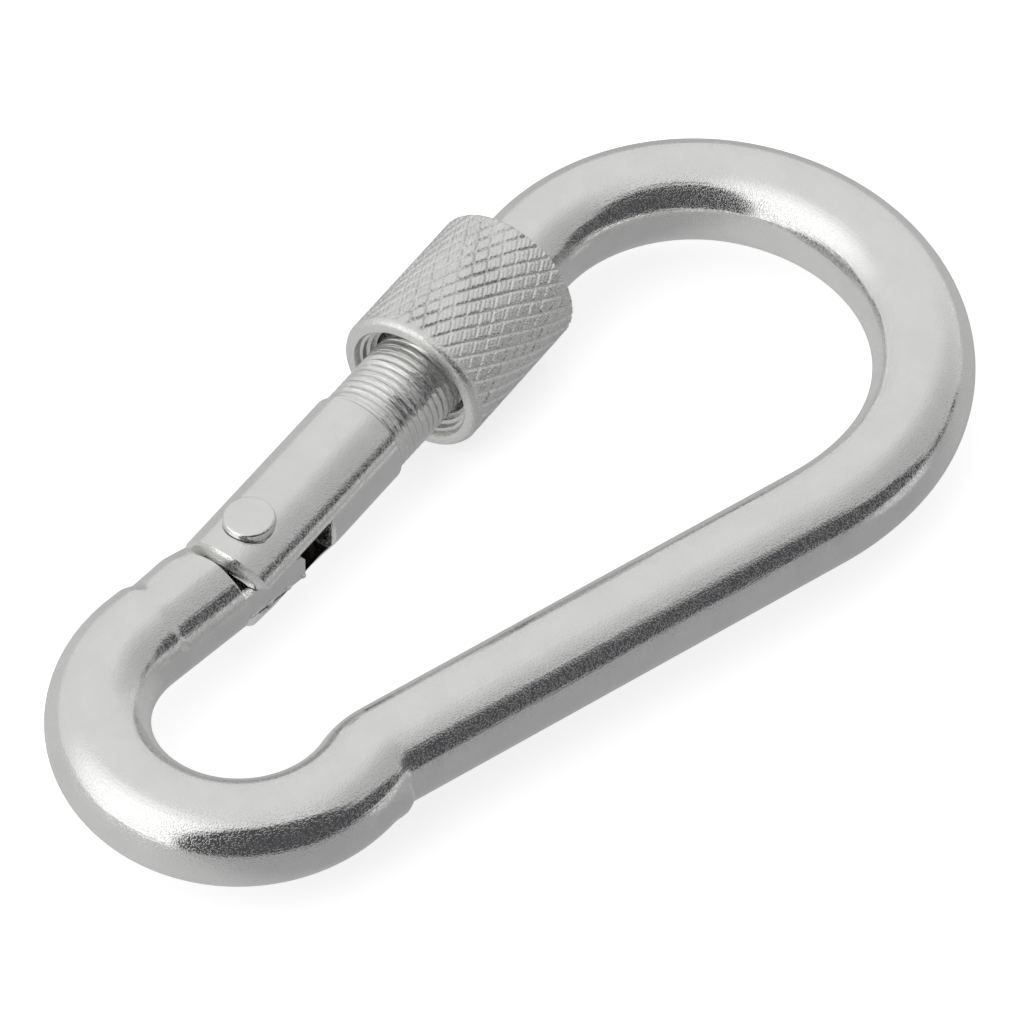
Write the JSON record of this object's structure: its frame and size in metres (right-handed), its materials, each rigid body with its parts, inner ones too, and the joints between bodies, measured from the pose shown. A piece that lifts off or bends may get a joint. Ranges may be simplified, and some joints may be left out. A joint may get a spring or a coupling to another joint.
{
  "type": "screw-lock carabiner keyring",
  "caption": "Pear-shaped carabiner keyring bent from round steel wire, with a sprung inward-opening gate and a knurled screw-lock sleeve.",
  "frame": {"origin": "centre of the hook's bounding box, on the wire's mid-plane", "axes": "+X along the hook's long axis from the hinge-end eye towards the big bow, +Y towards the gate side, +Z across the plane of the wire"},
  "size_m": [0.08, 0.0414, 0.0116],
  "materials": {
    "zinc_wire": "bright zinc plate over bent steel wire",
    "zinc_gate": "bright zinc plate over turned steel tube",
    "zinc_rivet": "bright zinc plate, pressed flat head",
    "spring_wire": "drawn spring wire, lightly oiled",
    "plunger_steel": "turned steel, slightly yellow passivation",
    "zinc_knurl": "satin zinc plate over diamond knurling"
  },
  "bodies": {
    "hook": {"hook_body": "zinc_wire"},
    "gate": {"gate_tube": "zinc_gate", "hinge_rivet": "zinc_rivet", "gate_spring": "spring_wire"},
    "plunger": {"spring_plunger": "plunger_steel"},
    "sleeve": {"lock_sleeve": "zinc_knurl"}
  },
  "joints": [
    {"name": "gate_swing", "type": "hinge", "parent": "hook", "child": "gate", "pos_m": [-0.0155, 0.00985, 0], "axis": [0, 0, 1], "range_deg": [-25, 0], "stiffness_Nm_per_rad": 0.02, "springref_deg": 28.65},
    {"name": "plunger_travel", "type": "slide", "parent": "gate", "child": "plunger", "axis": [0.9869, 0.1616, 0], "range_m": [0, 0.001], "deforming": ["gate_spring"]},
    {"name": "sleeve_travel", "type": "slide", "parent": "gate", "child": "sleeve", "axis": [0.9869, 0.1616, 0], "range_m": [-0.0058, 0]}
  ],
  "couplings": [
    {"joint": "plunger_travel", "follows": "gate_swing", "m_per_rad": -0.00206}
  ]
}
